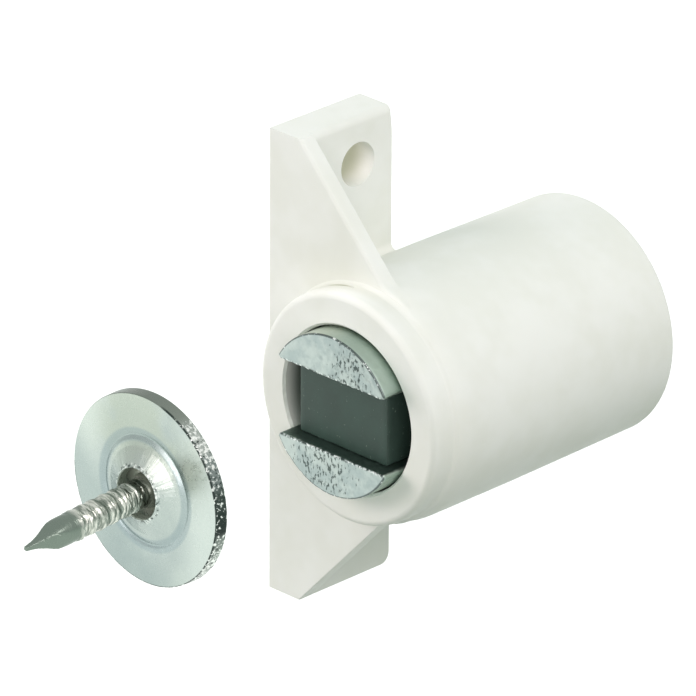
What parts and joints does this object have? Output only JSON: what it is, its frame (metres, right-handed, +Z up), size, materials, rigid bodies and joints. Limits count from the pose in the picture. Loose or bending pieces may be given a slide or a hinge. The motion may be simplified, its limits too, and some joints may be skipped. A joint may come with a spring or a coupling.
{
  "type": "magnetic catch",
  "caption": "Screw-on magnetic cupboard catch: a moulded barrel on a flange holds a magnet between steel poles, with a round nail-on strike plate.",
  "frame": {"origin": "midway between the two screw holes, on the flange face that meets the cabinet panel", "axes": "+X out of the panel, along the screw holes; +Y along the barrel from the door to the back; +Z up, along the flange"},
  "size_m": [0.0212, 0.0614, 0.04],
  "materials": {
    "white_plastic": "semi-gloss moulded",
    "pole_steel": "zinc-plated, scuffed",
    "ferrite": "matt sintered",
    "plate_steel": "zinc-plated, pressed",
    "nail_steel": "bright drawn"
  },
  "bodies": {
    "catch": {"housing": "white_plastic", "upper_pole": "pole_steel", "lower_pole": "pole_steel", "magnet": "ferrite"},
    "strike": {"strike_plate": "plate_steel", "strike_nail": "nail_steel"}
  },
  "joints": [
    {"name": "strike_travel", "type": "slide", "parent": "catch", "child": "strike", "axis": [0, 1, 0], "range_m": [0, 0.0189]}
  ]
}
